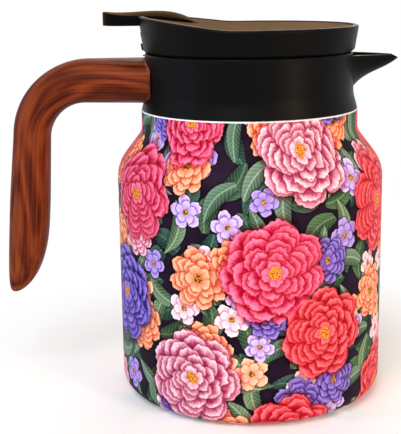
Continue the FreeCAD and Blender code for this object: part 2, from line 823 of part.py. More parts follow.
def lever():
    """Thumb lever: hollow tab, tongue over the lid, rib to the pin and forked arm to the stem."""
    side = plank([
        (lever_end_x, lever_under_z, lever_edge_round),
        (lever_end_x, lid_block_top_z),
        (lever_tip_x, lid_block_top_z),
        (lever_tip_x, lid_rim_z - lever_sink),
        (lever_skirt_end_x, lever_under_z),
    ], 2 * lever_half_width)
    body = lever_crowned_block().common(side)
    body = body.common(plan_block(lever_end_x, lever_tip_x, lever_half_width))
    body = round_off(body, lever_edge_round, is_lever_top_edge)
    rib_back_x = pivot_x - rib_half_length
    rib_front_x = pivot_x + rib_half_length
    hollow = plan_block(lever_end_x + lever_skirt_wall, lever_tip_x, lever_half_width - lever_skirt_wall)
    hollow = hollow.common(box(lever_end_x, rib_back_x, lever_half_width,
                               0, lever_top_z - lever_plate_wall - lever_crown))
    body = body.cut(hollow)
    rib = plank([
        (rib_back_x, arm_bottom_z, rib_round),
        (fork_reach - fork_half_width, arm_bottom_z),
        (fork_reach - fork_half_width, arm_top_z),
        (rib_front_x, arm_top_z, arm_height),
        (rib_front_x, lid_rim_z + lever_tip_rise / 2),
        (rib_back_x, lever_top_z - lever_plate_wall - lever_crown),
    ], rib_half_width)
    fork = box(fork_reach - 2 * fork_half_width, fork_reach, fork_half_width, arm_bottom_z, arm_top_z)
    fork = fork.cut(box(-stem_radius - lever_side_gap, fork_reach, stem_radius + lever_side_gap / 2,
                        arm_bottom_z, arm_top_z))
    body = body.fuse(rib).fuse(fork)
    return body.cut(pin_solid(running_fit, BIG)).removeSplitter()


def plan_block(x0, x1, half_width):
    """Tall block with the lever's plan outline: round ends and straight sides."""
    start, end = Vector(x0 + half_width, 0, 0), Vector(x1 - half_width, 0, 0)
    up, down = Vector(0, half_width, 0), Vector(0, -half_width, 0)
    edges = [
        Part.LineSegment(start + up, end + up).toShape(),
        Part.Arc(end + up, Vector(x1, 0, 0), end + down).toShape(),
        Part.LineSegment(end + down, start + down).toShape(),
        Part.Arc(start + down, Vector(x0, 0, 0), start + up).toShape(),
    ]
    return Part.Face(Part.Wire(edges)).extrude(Vector(0, 0, BIG))


def valve_stem():
    """Steel rod from the valve up through the partition to the lever's fork."""
    return rod(stem_radius, stopper_bottom_z, nut_z + stem_nut_height / 2)


def stem_nut():
    """Cap nut on the stem that the fork lifts."""
    nut = revolve([
        (0, nut_z),
        (stem_nut_radius, nut_z),
        (stem_nut_radius, nut_z + stem_nut_height, stem_nut_height / 3),
        (0, nut_z + stem_nut_height),
    ])
    return nut.cut(rod(stem_radius + close_fit, nut_z, nut_z + stem_nut_height / 2))


def valve_disc():
    """Stiff disc that presses the valve's seal on the port."""
    hub = retainer_radius - free_gap
    disc = revolve([
        (stem_radius + close_fit, valve_disc_z),
        (valve_disc_radius, valve_disc_z),
        (valve_disc_radius, valve_disc_z + valve_disc_height / 2),
        (hub, valve_top_z),
        (stem_radius + close_fit, valve_top_z),
    ])
    return disc


def valve_seal():
    """Silicone washer that closes the port."""
    return ring(valve_seal_radius, stem_radius + close_fit, port_z, valve_disc_z)


def valve_retainer():
    """Nut under the washer that holds the valve on its stem."""
    return ring(retainer_radius, stem_radius + close_fit, stopper_bottom_z, port_z)


def valve_spring():
    """Coil spring that keeps the valve shut and brings the lever back up.

    Each half turn is a flat half circle, tilted along X so that it runs smoothly into the next.
    """
    bottom = valve_top_z + spring_wire_radius
    rise = (spring_seat_z - spring_wire_radius - bottom) / (2 * spring_turns)
    arcs = []
    for i in range(2 * spring_turns):
        side = 1 if i % 2 == 0 else -1
        start = Vector(side * spring_mean_radius, 0, bottom + i * rise)
        end = Vector(-side * spring_mean_radius, 0, bottom + (i + 1) * rise)
        bulge = Vector(0, side * (end - start).Length / 2, 0)
        arcs.append(Part.Arc(start, (start + end) / 2 + bulge, end).toShape())
    wire_end = Part.makeCircle(spring_wire_radius, Vector(spring_mean_radius, 0, bottom), Vector(0, 1, 0))
    return Part.Wire(arcs).makePipe(Part.Face(Part.Wire(wire_end)))


NODES = {
    "outer_shell": outer_shell,
    "inner_flask": inner_flask,
    "base_plate": base_plate,
    "base_pad": base_pad,
    "vacuum_plug": vacuum_plug,
    "getter_cup": getter_cup,
    "neck_gasket": neck_gasket,
    "collar": collar,
    "handle_grip": handle_grip,
    "handle_screws": handle_screws,
    "lid_seal": lid_seal,
    "lid_band": lid_band,
    "lid_top": lid_top,
    "stopper_body": stopper_body,
    "seat_plate": seat_plate,
    "lid_screws": lid_screws,
    "lever_pin": lever_pin,
    "stem_o_ring": stem_o_ring,
    "o_ring_cap": o_ring_cap,
    "lever": lever,
    "valve_stem": valve_stem,
    "stem_nut": stem_nut,
    "valve_disc": valve_disc,
    "valve_seal": valve_seal,
    "valve_retainer": valve_retainer,
    "valve_spring": valve_spring,
}


def main():
    os.makedirs("parts", exist_ok=True)
    for name, make in NODES.items():
        shape = make()
        print(f"{name}: {len(shape.Solids)} solids, {shape.Volume:.0f} mm3, valid {shape.isValid()}")
        shape.exportStep(os.path.join("parts", name + ".step"))


main()
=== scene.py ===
# %% [markdown]
# # A vacuum jug with a press-lever lid
# The jug is a steel flask with a flower print, a black moulded collar and lid, and a wood-look
# handle. The solids come from the CAD frame; this lesson dresses them. It makes the handle again
# as a smooth surface that carries its own grain directions, makes the valve's spring again as a
# coil, gives every piece a finish made of nodes, and sets up the light and the camera.

# %% Load the frame
import math

import bpy
import numpy as np
from mathutils import Matrix, Vector


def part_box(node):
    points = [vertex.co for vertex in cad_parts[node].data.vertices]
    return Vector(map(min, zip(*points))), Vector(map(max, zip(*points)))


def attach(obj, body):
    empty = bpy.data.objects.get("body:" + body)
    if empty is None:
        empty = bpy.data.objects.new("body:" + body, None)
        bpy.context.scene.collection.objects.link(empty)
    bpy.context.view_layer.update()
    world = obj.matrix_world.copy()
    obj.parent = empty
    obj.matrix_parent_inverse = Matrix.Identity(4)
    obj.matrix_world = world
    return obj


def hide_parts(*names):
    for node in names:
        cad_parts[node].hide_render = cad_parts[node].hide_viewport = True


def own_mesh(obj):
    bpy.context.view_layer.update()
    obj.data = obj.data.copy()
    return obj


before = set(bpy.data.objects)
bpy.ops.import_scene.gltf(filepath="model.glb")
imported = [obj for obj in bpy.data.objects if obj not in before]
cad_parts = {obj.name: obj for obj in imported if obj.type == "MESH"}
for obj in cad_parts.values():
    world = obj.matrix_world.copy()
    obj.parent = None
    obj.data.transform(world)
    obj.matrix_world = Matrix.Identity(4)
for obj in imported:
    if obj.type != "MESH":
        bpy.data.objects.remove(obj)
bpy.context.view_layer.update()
MM = 0.001
print("nodes:", len(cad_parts))

# %% [markdown]
# ## Small helpers
# Colours are picked as they look on a screen, so one function turns a hex value into the linear
# numbers that a shader wants. Another fills a node's sockets, and a third adds a node: it takes
# the kind of node, what goes into its sockets, and any settings, and gives back one of its
# outputs. Blender's Mix node keeps sockets for numbers, vectors and colours side by side, so
# the colour ones are named here by their places. Its noise mostly stays between 0.3 and 0.7.

# %% Colour and node helpers
SHARE, BELOW, ABOVE = 0, 6, 7
COLOUR_MIX = dict(output=2, data_type="RGBA")
NOISE_RANGE = (0.3, 0.7)


def linear(hex_colour):
    """sRGB hex to linear RGBA: c/12.92 below 0.04045, else ((c + 0.055)/1.055)^2.4."""
    parts = [int(hex_colour[i:i + 2], 16) / 255 for i in (1, 3, 5)]
    return tuple(c / 12.92 if c <= 0.04045 else ((c + 0.055) / 1.055) ** 2.4 for c in parts) + (1.0,)


def feed(tree, made, inputs):
    """Fill a node's sockets from a list by position or a dict by name: link a socket, set a value."""
    pairs = inputs.items() if isinstance(inputs, dict) else enumerate(inputs)
    for key, value in pairs:
        if isinstance(value, bpy.types.NodeSocket):
            tree.links.new(value, made.inputs[key])
        else:
            made.inputs[key].default_value = value


def node(tree, kind, inputs=(), output=0, **settings):
    """Add one node with its settings and inputs, and give back one of its outputs."""
    made = tree.nodes.new(kind)
    for name, value in settings.items():
        setattr(made, name, value)
    feed(tree, made, inputs)
    return made.outputs[output] if made.outputs else None


def new_material(name):
    """An empty node material with an output node and one Principled shader on it."""
    material = bpy.data.materials.new(name)
    material.use_nodes = True
    tree = material.node_tree
    tree.nodes.clear()
    shader = node(tree, "ShaderNodeBsdfPrincipled")
    node(tree, "ShaderNodeOutputMaterial", {"Surface": shader})
    return material, tree, shader.node


def dress(names, material):
    """Give CAD nodes one material."""
    for name in names:
        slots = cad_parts[name].data.materials
        slots.clear()
        slots.append(material)


print("half grey on the screen is linear", round(linear("#808080")[0], 3))

# %% [markdown]
# ## Black moulded plastic
# Collar, lid and lever are injection-moulded polypropylene with a satin finish: nearly black, with
# a faint sheen. A plain black would do from afar, but a fine spark-eroded grain keeps the sheen
# from looking like glass. The real grain is about 0.15 mm; it is drawn at 0.5 mm so that it shows.
# The lid's top and the lever have a softer, matt touch that turns tan where it is seen at a flat
# angle, which is a sheen layer. The lever's is a little stronger.

# %% Satin black polypropylene
MOULD_GRAIN = 0.5 * MM
MOULD_GRAIN_DEPTH = 0.04 * MM
SATIN_PATCH = 18 * MM
SHEEN_TAN = "#c88d26"


def satin_black(name, colour, roughness, gloss, sheen):
    """Moulded black: a fine bump, and a roughness that wanders by about 0.05 from patch to patch."""
    material, tree, shader = new_material(name)
    place = node(tree, "ShaderNodeTexCoord", output="Object")
    grain = node(tree, "ShaderNodeTexNoise", {"Vector": place, "Scale": 1 / MOULD_GRAIN, "Detail": 3.0})
    patch = node(tree, "ShaderNodeTexNoise", {"Vector": place, "Scale": 1 / SATIN_PATCH, "Detail": 2.0})
    smooth, dull = roughness - 0.04, roughness + 0.05
    feed(tree, shader, {
        "Base Color": linear(colour),
        "Roughness": node(tree, "ShaderNodeMapRange", [patch, *NOISE_RANGE, smooth, dull]),
        "Normal": node(tree, "ShaderNodeBump",
                       {"Strength": 0.12, "Distance": MOULD_GRAIN_DEPTH, "Height": grain}),
        "Specular IOR Level": gloss,
        "Sheen Weight": sheen,
        "Sheen Roughness": 0.35,
        "Sheen Tint": linear(SHEEN_TAN),
    })
    return material


collar_black = satin_black("satin_black_polypropylene", "#070707", 0.4, 0.05, 0.0)
dress(["collar", "lid_band", "stopper_body", "seat_plate", "o_ring_cap", "valve_disc", "valve_retainer"],
      collar_black)
touch_black = satin_black("soft_touch_black_polypropylene", "#0a0909", 0.6, 0.008, 0.27)
dress(["lid_top"], touch_black)
lever_black = satin_black("matt_black_polypropylene", "#0a0909", 0.6, 0.008, 0.34)
dress(["lever"], lever_black)
print("plastic finishes:", collar_black.name, touch_black.name, lever_black.name)

# %% [markdown]
# ## Metal inside
# These pieces show when the lid is lifted off or the jug is turned over: brushed stainless steel
# inside the flask, bright steel pins and screws, and the dull solder that closes the vacuum. The
# flask is brushed while it spins, so the hair lines run round it. They are a noise that changes
# quickly with the height and slowly round the axis, which needs no picture of scratches.

# %% Steel and solder
BRUSH_LINE = 0.4 * MM
BRUSH_LENGTH = 100 * MM
SCRATCH_DEPTH = 0.02 * MM


def steel(name, colour, roughness, brushed):
    """Metal whose hair lines change the roughness by 0.12 and the bump by 0.15, times brushed."""
    material, tree, shader = new_material(name)
    place = node(tree, "ShaderNodeTexCoord", output="Object")
    stretch = (1 / BRUSH_LENGTH, 1 / BRUSH_LENGTH, 1 / BRUSH_LINE)
    lines = node(tree, "ShaderNodeMapping", {"Vector": place, "Scale": stretch})
    hair = node(tree, "ShaderNodeTexNoise", {"Vector": lines, "Scale": 1.0, "Detail": 4.0})
    smooth, dull = roughness - 0.12 * brushed, roughness + 0.12 * brushed
    feed(tree, shader, {
        "Base Color": linear(colour),
        "Metallic": 1.0,
        "Roughness": node(tree, "ShaderNodeMapRange", [hair, *NOISE_RANGE, smooth, dull]),
        "Normal": node(tree, "ShaderNodeBump",
                       {"Strength": 0.15 * brushed, "Distance": SCRATCH_DEPTH, "Height": hair}),
    })
    return material


flask_steel = steel("brushed_stainless_steel", "#c9c8c6", 0.32, 1.0)
dress(["inner_flask", "base_plate", "getter_cup"], flask_steel)
bright_steel = steel("bright_stainless_steel", "#d2d2d2", 0.2, 0.3)
dress(["handle_screws", "lid_screws", "lever_pin", "valve_stem", "stem_nut"], bright_steel)
solder = steel("dull_solder", "#8d8d90", 0.5, 0.2)
dress(["vacuum_plug"], solder)
print("metal finishes:", flask_steel.name, bright_steel.name, solder.name)

# %% [markdown]
# ## Silicone seals and foot
# The seals are moulded from milky silicone and the foot from a grey one. Light goes a little way
# into silicone, which softens its shadows, so the shader gets some subsurface scattering.

# %% Silicone
SILICONE_CLOUD = 6 * MM
SILICONE_ROUGHNESS = (0.5, 0.58)
LIGHT_DEPTH = 2 * MM


def silicone(name, colour):
    """Dull rubber with a slightly cloudy roughness, lit through by about the light's depth."""
    material, tree, shader = new_material(name)
    place = node(tree, "ShaderNodeTexCoord", output="Object")
    cloud = node(tree, "ShaderNodeTexNoise", {"Vector": place, "Scale": 1 / SILICONE_CLOUD, "Detail": 2.0})
    feed(tree, shader, {
        "Base Color": linear(colour),
        "Roughness": node(tree, "ShaderNodeMapRange", [cloud, *NOISE_RANGE, *SILICONE_ROUGHNESS]),
        "Subsurface Weight": 0.3,
        "Subsurface Radius": (LIGHT_DEPTH, LIGHT_DEPTH, LIGHT_DEPTH),
    })
    return material


seal_silicone = silicone("clear_silicone", "#d9d8d4")
dress(["neck_gasket", "lid_seal", "stem_o_ring", "valve_seal"], seal_silicone)
foot_silicone = silicone("grey_silicone", "#4a4a4c")
dress(["base_pad"], foot_silicone)
print("silicones:", seal_silicone.name, foot_silicone.name)

# %% [markdown]
# ## The flower print
# The flask is sprayed white and then wrapped in a heat-transfer print: blooms, leaves and small
# blossoms crowd a dark aubergine ground, and a white margin stays bare under the collar. A print
# has no thickness, so it is drawn by the material. The surface is unrolled into millimetres:
# across is the angle round the axis times the body's radius, and up is the height. The two ends
# of the sheet meet behind the handle, as they do on a real wrap. A Voronoi texture scatters one
# flower per cell; it gives each cell's centre and a random colour, so a flower is drawn in polar
# coordinates about that centre.

# %% Sizes of the print
shell_low, shell_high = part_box("outer_shell")
body_radius = (shell_high[0] - shell_low[0]) / 2
collar_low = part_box("collar")[0]
WHITE_MARGIN = 0.7 * MM
PRINT_SHIFT = 14 * MM
TURN = 2 * math.pi
print_top = collar_low[2] - WHITE_MARGIN
print("sheet, mm:", round(TURN * body_radius / MM, 1), "by", round(print_top / MM, 1))

# %% [markdown]
# Petals come ring by ring, the outermost first: a ring ends where the radius passes a scalloped
# edge, and it is pale at that edge and deep where the next ring covers it. The same sums
# serve every ring of every flower, so they are a node group with sockets for what differs.

# %% One ring of petals as a node group
RING_NUMBERS = ("Angle", "Radius", "Petals", "Phase", "Reach", "Notch", "Ruffle", "Depth", "Streak")
RING_COLOURS = ("Deep", "Pale", "Under")
LOBE_ROUNDNESS = 0.5
EDGE_BLUR = 0.022
JOIN_WIDTH, JOIN_TONE = 0.6, 0.3
FOLD_REACH = 0.14
FOLD_STRENGTH = 0.88


def ring_group():
    """Petal ring: edge = reach * (1 - notch * (1 - |cos(petals * angle / 2 + phase)|^0.5)) + ruffle.

    Inside the edge the tone is 1 at the rim, falls to 0 over one depth towards the middle, and
    is lower where two petals meet. Deep and pale colours are mixed by that tone. Outside the
    edge the ring throws a soft shadow: what lies under it is multiplied by the deep colour.
    """
    tree = bpy.data.node_groups.new("petal_ring", "ShaderNodeTree")
    for name in RING_NUMBERS:
        tree.interface.new_socket(name, in_out="INPUT", socket_type="NodeSocketFloat")
    for name in RING_COLOURS:
        tree.interface.new_socket(name, in_out="INPUT", socket_type="NodeSocketColor")
    tree.interface.new_socket("Colour", in_out="OUTPUT", socket_type="NodeSocketColor")
    given = tree.nodes.new("NodeGroupInput").outputs
    half = node(tree, "ShaderNodeMath", [given["Petals"], 0.5], operation="MULTIPLY")
    swing = node(tree, "ShaderNodeMath", [given["Angle"], half, given["Phase"]], operation="MULTIPLY_ADD")
    wave = node(tree, "ShaderNodeMath", [swing], operation="COSINE")
    lobe = node(tree, "ShaderNodeMath", [wave], operation="ABSOLUTE")
    round_lobe = node(tree, "ShaderNodeMath", [lobe, LOBE_ROUNDNESS], operation="POWER")
    gap = node(tree, "ShaderNodeMath", [1.0, round_lobe], operation="SUBTRACT")
    cut = node(tree, "ShaderNodeMath", [gap, given["Notch"]], operation="MULTIPLY")
    keep = node(tree, "ShaderNodeMath", [1.0, cut], operation="SUBTRACT")
    edge = node(tree, "ShaderNodeMath", [given["Reach"], keep, given["Ruffle"]], operation="MULTIPLY_ADD")
    inside = node(tree, "ShaderNodeMath", [edge, given["Radius"]], operation="SUBTRACT")
    cover = node(tree, "ShaderNodeMapRange", [inside, 0.0, EDGE_BLUR, 0.0, 1.0])
    fall = node(tree, "ShaderNodeMath", [inside, given["Depth"]], operation="DIVIDE")
    light = node(tree, "ShaderNodeMath", [1.0, fall], operation="SUBTRACT", use_clamp=True)
    side = node(tree, "ShaderNodeMapRange", [lobe, 0.0, JOIN_WIDTH, JOIN_TONE, 1.0])
    shade = node(tree, "ShaderNodeMath", [light, side], operation="MULTIPLY")
    tone = node(tree, "ShaderNodeMath", [shade, given["Streak"]], operation="ADD", use_clamp=True)
    petal = node(tree, "ShaderNodeMix", {SHARE: tone, BELOW: given["Deep"], ABOVE: given["Pale"]},
                 **COLOUR_MIX)
    fold = node(tree, "ShaderNodeMapRange", [inside, -FOLD_REACH, 0.0, 0.0, FOLD_STRENGTH])
    dark = node(tree, "ShaderNodeMix", {SHARE: fold, BELOW: given["Under"], ABOVE: given["Deep"]},
                blend_type="MULTIPLY", **COLOUR_MIX)
    result = node(tree, "ShaderNodeMix", {SHARE: cover, BELOW: dark, ABOVE: petal}, **COLOUR_MIX)
    node(tree, "NodeGroupOutput", {"Colour": result})
    return tree


petal_ring = ring_group()
print("nodes in a petal ring:", len(petal_ring.nodes))

# %% [markdown]
# Flowers and leaves are both strewn over the sheet in the same way. Placing each by hand would
# take a long list; a Voronoi texture gives the places and three random numbers for each, which
# choose its turn, its size and its colours.

# %% Strewing and palettes
SHIFT_UP = 1.7
SMALLEST_FLOWER, LARGEST_FLOWER = 0.85, 1.12


def palette(tree, value, colours):
    """A stepped palette: each colour takes an equal share of 0 to 1."""
    out = node(tree, "ShaderNodeValToRGB", [value])
    band = out.node.color_ramp
    band.interpolation = "CONSTANT"
    while len(band.elements) < len(colours):
        band.elements.new(1.0)
    for i, colour in enumerate(colours):
        band.elements[i].position = i / len(colours)
        band.elements[i].color = linear(colour)
    return out


def scatter(tree, place, plan):
    """One point per cell: gives the place from that point (in metres) and three random numbers."""
    shift = (plan["offset"], SHIFT_UP * plan["offset"], 0)
    turned = node(tree, "ShaderNodeMapping",
                  {"Vector": place, "Rotation": (0, 0, plan["tilt"]), "Location": shift})
    cells = node(tree, "ShaderNodeTexVoronoi",
                 {"Vector": turned, "Scale": 1 / plan["cell"], "Randomness": plan["randomness"]},
                 output="Position", voronoi_dimensions="2D")
    local = node(tree, "ShaderNodeVectorMath", [turned, cells], operation="SUBTRACT")
    chance = node(tree, "ShaderNodeSeparateColor", [cells.node.outputs["Color"]]).node.outputs
    return local, chance


def polar(tree, local, chance, radius):
    """Angle about the flower's middle with a random turn, and distance in flower radii."""
    parts = node(tree, "ShaderNodeSeparateXYZ", [local]).node.outputs
    angle = node(tree, "ShaderNodeMath", [parts["Y"], parts["X"]], operation="ARCTAN2")
    turned = node(tree, "ShaderNodeMath", [chance["Red"], TURN, angle], operation="MULTIPLY_ADD")
    far = node(tree, "ShaderNodeVectorMath", [local], output="Value", operation="LENGTH")
    least, most = radius * SMALLEST_FLOWER, radius * LARGEST_FLOWER
    size = node(tree, "ShaderNodeMapRange", [chance["Green"], 0.0, 1.0, least, most])
    return turned, node(tree, "ShaderNodeMath", [far, size], operation="DIVIDE")


print("random numbers per flower or leaf:", 3)

# %% [markdown]
# A flower is a stack of petal rings with a tuft of stamens in the middle. Its edge is ruffled by
# a noise of a few millimetres, and fine streaks run from the middle to the rim.

# %% Flowers
# How fast the streaks change, per radian round the flower and per flower radius outwards.
PETAL_STREAKS = (14.0, 2.5, 1.0)
STREAK_TONES = (-0.12, 0.16)
RING_TURN, RING_STEP = 9.0, 1.1
STAMEN_SPACING = 0.9 * MM
STAMEN_SIZE = 0.55
HEART_BLUR = 0.04


def blooms(tree, place, under, plan):
    """Flowers of one kind over what lies under them. plan holds the sizes, rings and palettes."""
    local, chance = scatter(tree, place, plan)
    angle, far = polar(tree, local, chance, plan["radius"])
    fine = node(tree, "ShaderNodeTexNoise",
                {"Vector": place, "Scale": 1 / plan["ruffle_size"], "Detail": 2.0})
    ruffle = node(tree, "ShaderNodeMapRange", [fine, *NOISE_RANGE, -plan["ruffle"], plan["ruffle"]])
    spread = node(tree, "ShaderNodeCombineXYZ", [angle, far])
    veins = node(tree, "ShaderNodeMapping", {"Vector": spread, "Scale": PETAL_STREAKS})
    streaks = node(tree, "ShaderNodeTexNoise", {"Vector": veins, "Scale": 1.0, "Detail": 2.0})
    streak = node(tree, "ShaderNodeMapRange", [streaks, *NOISE_RANGE, *STREAK_TONES])
    deep = palette(tree, chance["Blue"], plan["deep"])
    pale = palette(tree, chance["Blue"], plan["pale"])
    for i, (petals, reach, notch) in enumerate(plan["rings"]):
        turn, step = RING_TURN * (i + 1), RING_STEP * i
        phase = node(tree, "ShaderNodeMath", [chance["Green"], turn, step], operation="MULTIPLY_ADD")
        values = {"Angle": angle, "Radius": far, "Petals": float(petals), "Phase": phase,
                  "Reach": reach, "Notch": notch, "Ruffle": ruffle, "Depth": plan["depth"],
                  "Streak": streak, "Deep": deep, "Pale": pale, "Under": under}
        under = node(tree, "ShaderNodeGroup", values, node_tree=petal_ring)
    heart = node(tree, "ShaderNodeTexVoronoi", {"Vector": place, "Scale": 1 / STAMEN_SPACING},
                 voronoi_dimensions="2D")
    dots = node(tree, "ShaderNodeMapRange", [heart, 0.0, STAMEN_SIZE, 0.0, 1.0])
    tuft = node(tree, "ShaderNodeMix",
                {SHARE: dots, BELOW: linear(plan["stamen"]), ABOVE: linear(plan["heart"])}, **COLOUR_MIX)
    reach = node(tree, "ShaderNodeMath", [ruffle, plan["heart_reach"]], operation="ADD")
    within = node(tree, "ShaderNodeMath", [reach, far], operation="SUBTRACT")
    cover = node(tree, "ShaderNodeMapRange", [within, 0.0, HEART_BLUR, 0.0, 1.0])
    return node(tree, "ShaderNodeMix", {SHARE: cover, BELOW: under, ABOVE: tuft}, **COLOUR_MIX)


print("stamens every", STAMEN_SPACING / MM, "mm")

# %% [markdown]
# A leaf is drawn along its own turned axis, which is bent a little. One side is paler than the
# other, as on a leaf that catches the light, and the midrib and the side veins are paler lines.

# %% Leaves
LEAF_BEND = 0.35
LEAF_EDGE_BLUR = 0.15 * MM
LEAF_SHADOW_REACH = 1.6 * MM
LEAF_SHADOW_STRENGTH = 0.6
LEAF_SHADOW = "#0d0710"
SIDE_VEIN_SPACING = 1.9 * MM
SIDE_VEIN_SLANT = 0.9
SIDE_VEIN_EDGE, SIDE_VEIN_TONE = 0.55, 0.3
MIDRIB_CORE, MIDRIB_EDGE = 0.1 * MM, 0.45 * MM
MIDRIB_TONE = 0.75
PALE_HALF_TONE = 0.55


def leaves(tree, place, under, plan):
    """Pointed leaves: half width = width * (1 - t^2) along t from -1 to 1, with midrib and side veins."""
    local, chance = scatter(tree, place, plan)
    spin = node(tree, "ShaderNodeMath", [chance["Red"], TURN], operation="MULTIPLY")
    along = node(tree, "ShaderNodeVectorRotate", {"Vector": local, "Angle": spin}, rotation_type="Z_AXIS")
    parts = node(tree, "ShaderNodeSeparateXYZ", [along]).node.outputs
    square = node(tree, "ShaderNodeMath", [parts["X"], parts["X"]], operation="MULTIPLY")
    across = node(tree, "ShaderNodeMath", [square, -LEAF_BEND / plan["length"], parts["Y"]],
                  operation="MULTIPLY_ADD")
    share = node(tree, "ShaderNodeMath", [parts["X"], plan["length"]], operation="DIVIDE")
    share_square = node(tree, "ShaderNodeMath", [share, share], operation="MULTIPLY")
    left = node(tree, "ShaderNodeMath", [1.0, share_square], operation="SUBTRACT")
    half = node(tree, "ShaderNodeMath", [left, plan["width"]], operation="MULTIPLY")
    off = node(tree, "ShaderNodeMath", [across], operation="ABSOLUTE")
    inside = node(tree, "ShaderNodeMath", [half, off], operation="SUBTRACT")
    cover = node(tree, "ShaderNodeMapRange", [inside, 0.0, LEAF_EDGE_BLUR, 0.0, 1.0])
    shadow = node(tree, "ShaderNodeMapRange", [inside, -LEAF_SHADOW_REACH, 0.0, 0.0, LEAF_SHADOW_STRENGTH])
    slant = node(tree, "ShaderNodeMath", [off, -SIDE_VEIN_SLANT, parts["X"]], operation="MULTIPLY_ADD")
    comb = node(tree, "ShaderNodeMath", [slant, TURN / SIDE_VEIN_SPACING], operation="MULTIPLY")
    vein = node(tree, "ShaderNodeMath", [comb], operation="SINE")
    veins = node(tree, "ShaderNodeMapRange", [vein, SIDE_VEIN_EDGE, 1.0, 0.0, SIDE_VEIN_TONE])
    midrib = node(tree, "ShaderNodeMapRange", [off, MIDRIB_CORE, MIDRIB_EDGE, MIDRIB_TONE, 0.0])
    body = node(tree, "ShaderNodeMapRange",
                [across, -plan["width"], plan["width"], PALE_HALF_TONE, 0.0])
    tone = node(tree, "ShaderNodeMath", [veins, body], operation="ADD")
    tone = node(tree, "ShaderNodeMath", [tone, midrib], operation="ADD", use_clamp=True)
    deep = palette(tree, chance["Blue"], plan["deep"])
    pale = palette(tree, chance["Blue"], plan["pale"])
    leaf = node(tree, "ShaderNodeMix", {SHARE: tone, BELOW: deep, ABOVE: pale}, **COLOUR_MIX)
    dark = node(tree, "ShaderNodeMix", {SHARE: shadow, BELOW: under, ABOVE: linear(LEAF_SHADOW)},
                **COLOUR_MIX)
    return node(tree, "ShaderNodeMix", {SHARE: cover, BELOW: dark, ABOVE: leaf}, **COLOUR_MIX)


print("side veins every", SIDE_VEIN_SPACING / MM, "mm")

# %% [markdown]
# The layers go down in the order of a bouquet: broad leaves, narrow sage leaves, small blossoms,
# open flowers, and the big rosettes on top. Cell sizes and radii are given in millimetres. A ring is
# given as its number of petals, its reach in flower radii, and the depth of its notches.

# %% Plans of the leaves and flowers
BROAD_LEAVES = dict(
    cell=15 * MM, tilt=0.4, offset=0.31, randomness=0.8, length=11 * MM, width=4.6 * MM,
    deep=["#15291f", "#1a3022", "#10241f"], pale=["#587f62", "#66895e", "#4c7665"])
SAGE_LEAVES = dict(
    cell=17 * MM, tilt=1.1, offset=0.73, randomness=0.85, length=12.5 * MM, width=3.6 * MM,
    deep=["#2b4531", "#223c2d", "#334a38"], pale=["#93ae86", "#80a287", "#8eab92"])
SMALL_BLOSSOMS = dict(
    cell=21 * MM, tilt=0.2, offset=0.57, randomness=0.75, radius=7.2 * MM, depth=0.75,
    ruffle=0.05, ruffle_size=1.6 * MM, rings=[(5, 1.0, 0.5), (5, 0.66, 0.45)],
    deep=["#6a4aa8", "#d86a6a", "#c98ab0", "#8a5cc0"],
    pale=["#b9a0e6", "#ffc9a0", "#fbe3ea", "#d8c4f2"],
    heart="#7a3010", stamen="#f2c04a", heart_reach=0.2)
OPEN_FLOWERS = dict(
    cell=33 * MM, tilt=0.9, offset=0.19, randomness=0.6, radius=12.0 * MM, depth=0.34,
    ruffle=0.05, ruffle_size=2.2 * MM,
    rings=[(8, 1.0, 0.3), (7, 0.82, 0.32), (6, 0.62, 0.3), (5, 0.44, 0.3)],
    deep=["#d2502c", "#37187c", "#c23a74", "#d65f38"],
    pale=["#ffc29a", "#a083e2", "#fbd0dc", "#ffb98c"],
    heart="#6a2a12", stamen="#f5b83c", heart_reach=0.17)
ROSETTES = dict(
    cell=52 * MM, tilt=0.55, offset=0.43, randomness=0.5, radius=20.5 * MM, depth=0.16,
    ruffle=0.035, ruffle_size=2.6 * MM,
    rings=[(7, 1.0, 0.24), (8, 0.9, 0.26), (7, 0.77, 0.28), (6, 0.63, 0.28), (6, 0.5, 0.3),
           (5, 0.37, 0.3), (4, 0.25, 0.3)],
    deep=["#c60b4b", "#c41033", "#351a86", "#bc4278"],
    pale=["#ff86ab", "#ff7a86", "#a78af2", "#ffdce6"],
    heart="#b4581c", stamen="#f6c04a", heart_reach=0.15)
print("rosettes are about", round(2 * ROSETTES["radius"] / MM), "mm wide")

# %% [markdown]
# The ground is a cloudy aubergine, and the layers are laid over it one by one. Above the print's
# top edge the sprayed white stays bare. Transfer ink on paint is dull, so there is little gloss.

# %% The print laid on the flask
GROUND_CLOUD = 12 * MM
GROUND_CLOUD_RANGE = (0.35, 0.65)
GROUND_DARK, GROUND_LIGHT = "#150c19", "#24122a"
SPRAYED_WHITE = "#f4f1f0"


